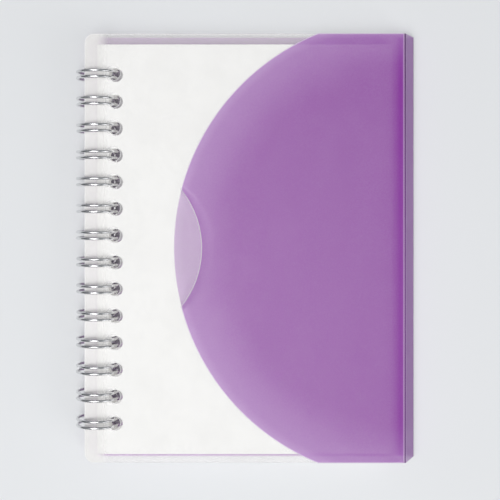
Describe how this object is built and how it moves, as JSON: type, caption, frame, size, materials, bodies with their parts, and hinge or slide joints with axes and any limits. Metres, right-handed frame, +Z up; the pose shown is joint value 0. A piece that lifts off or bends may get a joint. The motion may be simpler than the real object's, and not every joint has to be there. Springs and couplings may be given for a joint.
{
  "type": "pocket notebook",
  "caption": "Wire-bound pocket notebook with a frosted clear front cover and a round translucent closure flap tucked through a slit.",
  "frame": {"origin": "under the middle of the whole book, on the surface that it rests on", "axes": "+X from the binding to the fore-edge, +Y from the foot to the head, +Z up; the covers lean 1.53 degrees down towards the fore-edge, because the book rests on its rings and on the crease there"},
  "size_m": [0.1082, 0.135, 0.0136],
  "materials": {
    "frosted_sheet": "frosted clear polypropylene, fine matt grain",
    "tinted_sheet": "translucent purple polypropylene, fine satin grain",
    "paper": "smooth uncoated white paper",
    "wire": "bright silver coating"
  },
  "bodies": {
    "back_and_binding": {"back_cover": "tinted_sheet", "wire_binding": "wire"},
    "leaves_41_to_50": {"sheet_41": "paper", "sheet_42": "paper", "sheet_43": "paper", "sheet_44": "paper", "sheet_45": "paper", "sheet_46": "paper", "sheet_47": "paper", "sheet_48": "paper", "sheet_49": "paper", "sheet_50": "paper"},
    "leaves_31_to_40": {"sheet_31": "paper", "sheet_32": "paper", "sheet_33": "paper", "sheet_34": "paper", "sheet_35": "paper", "sheet_36": "paper", "sheet_37": "paper", "sheet_38": "paper", "sheet_39": "paper", "sheet_40": "paper"},
    "leaves_21_to_30": {"sheet_21": "paper", "sheet_22": "paper", "sheet_23": "paper", "sheet_24": "paper", "sheet_25": "paper", "sheet_26": "paper", "sheet_27": "paper", "sheet_28": "paper", "sheet_29": "paper", "sheet_30": "paper"},
    "leaves_11_to_20": {"sheet_11": "paper", "sheet_12": "paper", "sheet_13": "paper", "sheet_14": "paper", "sheet_15": "paper", "sheet_16": "paper", "sheet_17": "paper", "sheet_18": "paper", "sheet_19": "paper", "sheet_20": "paper"},
    "leaves_06_to_10": {"sheet_06": "paper", "sheet_07": "paper", "sheet_08": "paper", "sheet_09": "paper", "sheet_10": "paper"},
    "leaves_04_to_05": {"sheet_04": "paper", "sheet_05": "paper"},
    "leaf_03": {"sheet_03": "paper"},
    "leaf_02": {"sheet_02": "paper"},
    "leaf_01": {"sheet_01": "paper"},
    "front_cover_leaf": {"front_cover": "frosted_sheet"},
    "spine": {"spine_panel": "tinted_sheet"},
    "flap": {"closure_flap": "tinted_sheet"}
  },
  "joints": [
    {"name": "turn_leaves_41_to_50", "type": "hinge", "parent": "back_and_binding", "child": "leaves_41_to_50", "pos_m": [-0.04727, 0, 0.0071], "axis": [0, -1, 0], "range_deg": [0, 180]},
    {"name": "turn_leaves_31_to_40", "type": "hinge", "parent": "leaves_41_to_50", "child": "leaves_31_to_40", "pos_m": [-0.04727, 0, 0.0071], "axis": [0, -1, 0], "range_deg": [0, 180]},
    {"name": "turn_leaves_21_to_30", "type": "hinge", "parent": "leaves_31_to_40", "child": "leaves_21_to_30", "pos_m": [-0.04727, 0, 0.0071], "axis": [0, -1, 0], "range_deg": [0, 180]},
    {"name": "turn_leaves_11_to_20", "type": "hinge", "parent": "leaves_21_to_30", "child": "leaves_11_to_20", "pos_m": [-0.04727, 0, 0.0071], "axis": [0, -1, 0], "range_deg": [0, 180]},
    {"name": "turn_leaves_06_to_10", "type": "hinge", "parent": "leaves_11_to_20", "child": "leaves_06_to_10", "pos_m": [-0.04727, 0, 0.0071], "axis": [0, -1, 0], "range_deg": [0, 180]},
    {"name": "turn_leaves_04_to_05", "type": "hinge", "parent": "leaves_06_to_10", "child": "leaves_04_to_05", "pos_m": [-0.04727, 0, 0.0071], "axis": [0, -1, 0], "range_deg": [0, 180]},
    {"name": "turn_leaf_03", "type": "hinge", "parent": "leaves_04_to_05", "child": "leaf_03", "pos_m": [-0.04727, 0, 0.0071], "axis": [0, -1, 0], "range_deg": [0, 180]},
    {"name": "turn_leaf_02", "type": "hinge", "parent": "leaf_03", "child": "leaf_02", "pos_m": [-0.04727, 0, 0.0071], "axis": [0, -1, 0], "range_deg": [0, 180]},
    {"name": "turn_leaf_01", "type": "hinge", "parent": "leaf_02", "child": "leaf_01", "pos_m": [-0.04727, 0, 0.0071], "axis": [0, -1, 0], "range_deg": [0, 180]},
    {"name": "open_front_cover", "type": "hinge", "parent": "leaf_01", "child": "front_cover_leaf", "pos_m": [-0.04727, 0, 0.0071], "axis": [0, -1, 0], "range_deg": [0, 180], "deforming": ["front_cover"]},
    {"name": "swing_spine_panel", "type": "hinge", "parent": "back_and_binding", "child": "spine", "pos_m": [0.05408, 0, 0], "axis": [0, 1, 0], "range_deg": [0, 113.45]},
    {"name": "lift_closure_flap", "type": "hinge", "parent": "spine", "child": "flap", "pos_m": [0.05021, 0, 0.00891], "axis": [0, 1, 0], "range_deg": [0, 65.02], "deforming": ["closure_flap"]}
  ]
}
